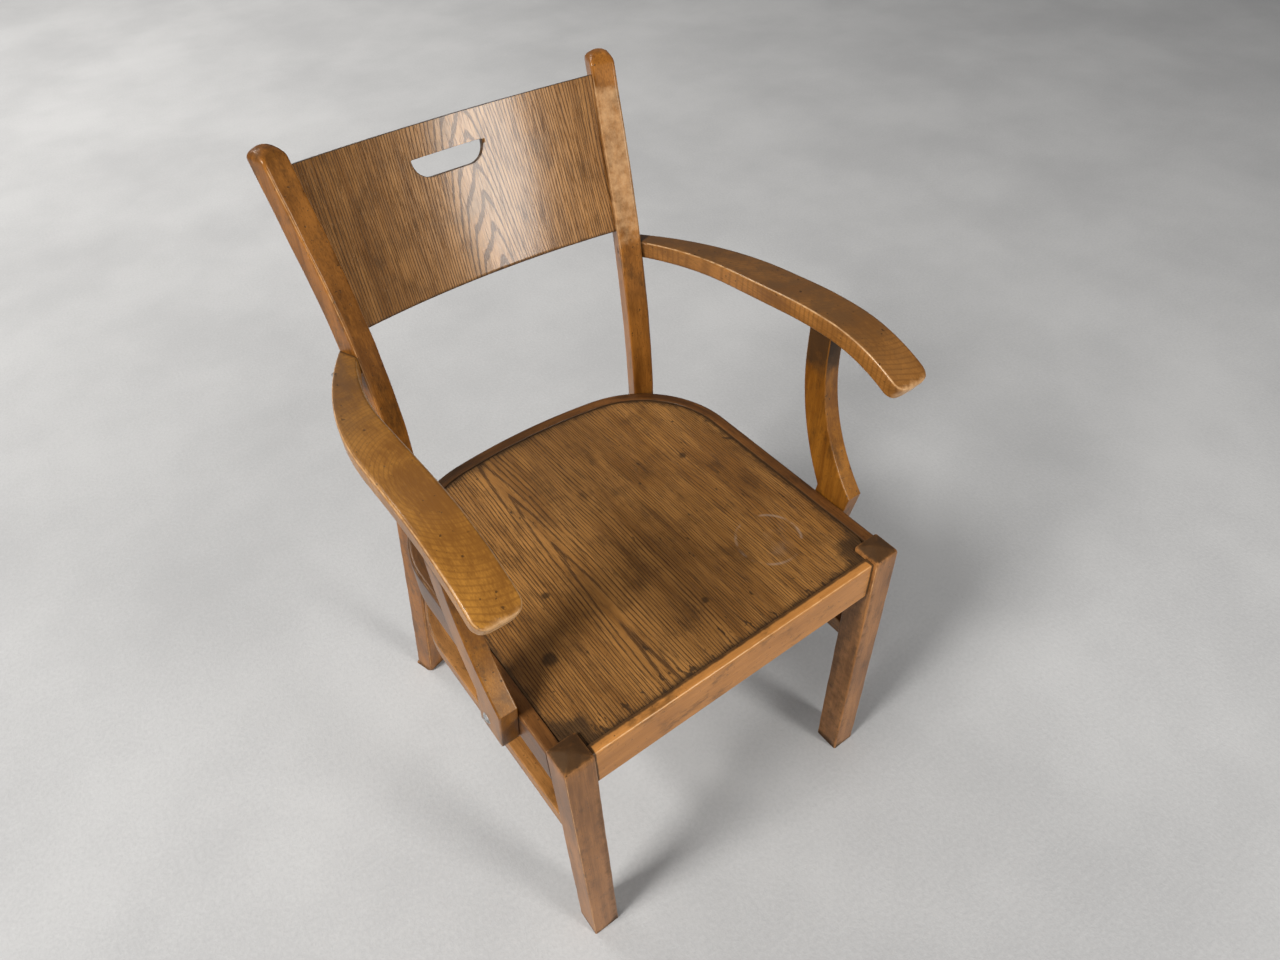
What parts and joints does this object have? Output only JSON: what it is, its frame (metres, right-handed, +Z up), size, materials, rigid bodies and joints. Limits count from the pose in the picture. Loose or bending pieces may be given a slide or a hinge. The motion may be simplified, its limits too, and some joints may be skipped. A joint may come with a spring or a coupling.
{
  "type": "captains chair",
  "caption": "Wooden captain's chair with square front legs, bent seat hoop and stretcher hoop, plywood seat, bent plywood back with hand hole, and bowed arms on curved supports.",
  "frame": {"origin": "on the floor, half way across and half way from the front feet to the back panel", "axes": "+Z up, the sitter faces -Y, +X towards the sitter's left"},
  "size_m": [0.567, 0.6012, 0.8979],
  "materials": {
    "stained_beech": "stained and satin varnished, worn",
    "seat_oak_veneer": "stained oak plywood, open grain, worn varnish",
    "back_oak_veneer": "stained oak plywood, satin varnish",
    "raw_beech": "unfinished",
    "steel": "zinc plated, dull"
  },
  "bodies": {
    "root": {"front_leg_left": "stained_beech", "front_leg_right": "stained_beech", "rear_post_left": "stained_beech", "rear_post_right": "stained_beech", "seat_hoop": "stained_beech", "seat_front_rail": "stained_beech", "arm_left": "stained_beech", "arm_right": "stained_beech", "arm_support_left": "stained_beech", "arm_support_right": "stained_beech", "stretcher_hoop": "stained_beech", "seat_panel": "seat_oak_veneer", "back_panel": "back_oak_veneer", "corner_block_left": "raw_beech", "corner_block_right": "raw_beech", "arm_dowels": "raw_beech", "support_bolts": "steel", "support_washers": "steel", "support_nuts": "steel", "arm_screws": "steel", "hoop_screws": "steel", "stretcher_screws": "steel"}
  },
  "joints": []
}
